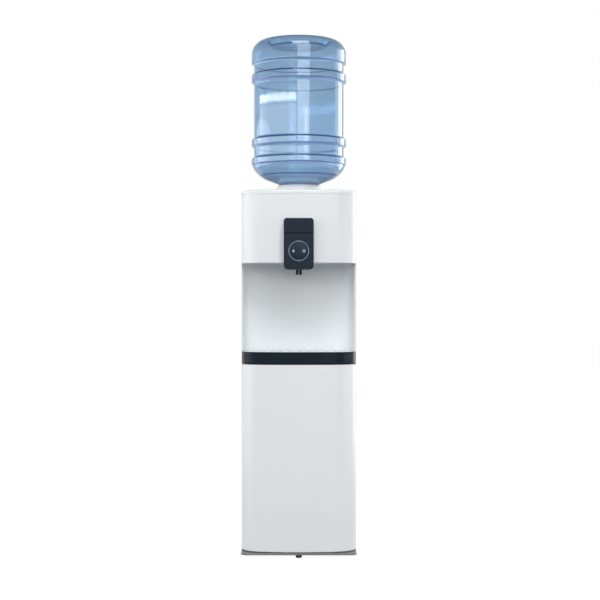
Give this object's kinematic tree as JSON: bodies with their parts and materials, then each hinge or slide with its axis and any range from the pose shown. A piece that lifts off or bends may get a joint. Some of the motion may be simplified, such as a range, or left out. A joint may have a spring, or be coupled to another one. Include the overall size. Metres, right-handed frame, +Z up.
{
  "type": "bottled water dispenser",
  "caption": "Free-standing hot and cold water dispenser: bowed cabinet, open alcove with slide-out drip tray, push-disc tap, bottle upside down on top, wire condenser behind.",
  "frame": {"origin": "on the floor, in the middle of the bounding box seen from above", "axes": "+Z up, the front with the tap faces -Y, +X to the right of someone looking at the front"},
  "size_m": [0.32, 0.37, 1.461],
  "materials": {
    "white_plastic": "satin moulded",
    "white_steel": "satin powder coat",
    "grey_plastic": "moulded",
    "foot_rubber": "matt",
    "black_gloss": "high gloss",
    "tap_plastic": "satin",
    "tap_dark": "moulded",
    "ring_metal": "blue-grey anodised",
    "bottle_plastic": "clear blue polycarbonate",
    "cap_plastic": "moulded",
    "valve_plastic": "moulded",
    "fitting_plastic": "moulded",
    "black_plastic": "moulded",
    "red_plastic": "gloss",
    "green_plastic": "gloss",
    "black_paint": "black enamel",
    "galvanised": "zinc",
    "stainless": "brushed",
    "copper": "drawn copper",
    "foam": "expanded foam",
    "silicone": "matt silicone",
    "board": "circuit board"
  },
  "bodies": {
    "cabinet": {"base_plate": "grey_plastic", "foot_front_left": "foot_rubber", "foot_front_right": "foot_rubber", "foot_rear_left": "foot_rubber", "foot_rear_right": "foot_rubber", "foot_front_centre": "foot_rubber", "lower_front_panel": "white_plastic", "head_front_panel": "white_plastic", "left_side_panel": "white_steel", "right_side_panel": "white_steel", "top_cover": "white_plastic", "alcove_liner": "white_plastic", "tray_shelf": "white_steel", "bottle_seat": "white_plastic", "water_probe": "white_plastic", "cold_tank": "stainless", "evaporator_coil": "copper", "cold_insulation": "foam", "hot_tank": "stainless", "heater_band": "galvanised", "hot_insulation": "foam", "thermostat": "black_plastic", "upper_shelf": "galvanised", "lower_shelf": "galvanised", "hot_valve": "valve_plastic", "hot_spout": "tap_dark", "cold_valve": "valve_plastic", "cold_spout": "tap_dark", "hot_hose": "silicone", "feed_hose": "silicone", "drain_hose": "silicone", "rear_panel": "galvanised", "condenser": "black_paint", "compressor": "black_paint", "terminal_cover": "black_plastic", "compressor_grommet_1": "foot_rubber", "compressor_grommet_2": "foot_rubber", "compressor_grommet_3": "foot_rubber", "compressor_grommet_4": "foot_rubber", "discharge_line": "copper", "suction_line": "copper", "filter_drier": "copper", "drain_spigot": "fitting_plastic", "cord_gland": "foot_rubber", "switch_plate": "black_plastic", "power_box": "grey_plastic", "tap_housing": "tap_plastic", "tap_upper_cover": "tap_plastic", "tap_lower_cover": "tap_plastic", "selector_ring": "ring_metal", "rocker_pin": "stainless", "control_board": "board"},
    "tray": {"drip_tray": "black_gloss"},
    "grille": {"drip_grille": "white_plastic"},
    "bottle": {"bottle": "bottle_plastic", "bottle_cap": "cap_plastic"},
    "selector": {"selector_rocker": "tap_plastic"},
    "heat_rocker": {"heat_switch": "red_plastic"},
    "cool_rocker": {"cool_switch": "green_plastic"},
    "drain_stopper": {"drain_cap": "fitting_plastic"}
  },
  "joints": [
    {"name": "tray_slide", "type": "slide", "parent": "cabinet", "child": "tray", "axis": [0, -1, 0], "range_m": [0, 0.12]},
    {"name": "grille_lift", "type": "slide", "parent": "tray", "child": "grille", "axis": [0, 0, 1], "range_m": [0, 0.04]},
    {"name": "bottle_lift", "type": "slide", "parent": "cabinet", "child": "bottle", "axis": [0, 0, 1], "range_m": [0, 0.12]},
    {"name": "selector_tilt", "type": "hinge", "parent": "cabinet", "child": "selector", "pos_m": [0, -0.17785, 0.844], "axis": [0, 0, 1], "range_deg": [-4, 4], "stiffness_Nm_per_rad": 0.3},
    {"name": "heat_switch_rock", "type": "hinge", "parent": "cabinet", "child": "heat_rocker", "pos_m": [-0.0812, 0.158, 0.2893], "axis": [1, 0, 0], "range_deg": [-16, 0]},
    {"name": "cool_switch_rock", "type": "hinge", "parent": "cabinet", "child": "cool_rocker", "pos_m": [-0.0532, 0.158, 0.2893], "axis": [1, 0, 0], "range_deg": [-16, 0]},
    {"name": "drain_cap_turn", "type": "hinge", "parent": "cabinet", "child": "drain_stopper", "pos_m": [0.048, 0.17, 0.2893], "axis": [0, 1, 0], "continuous": true}
  ]
}
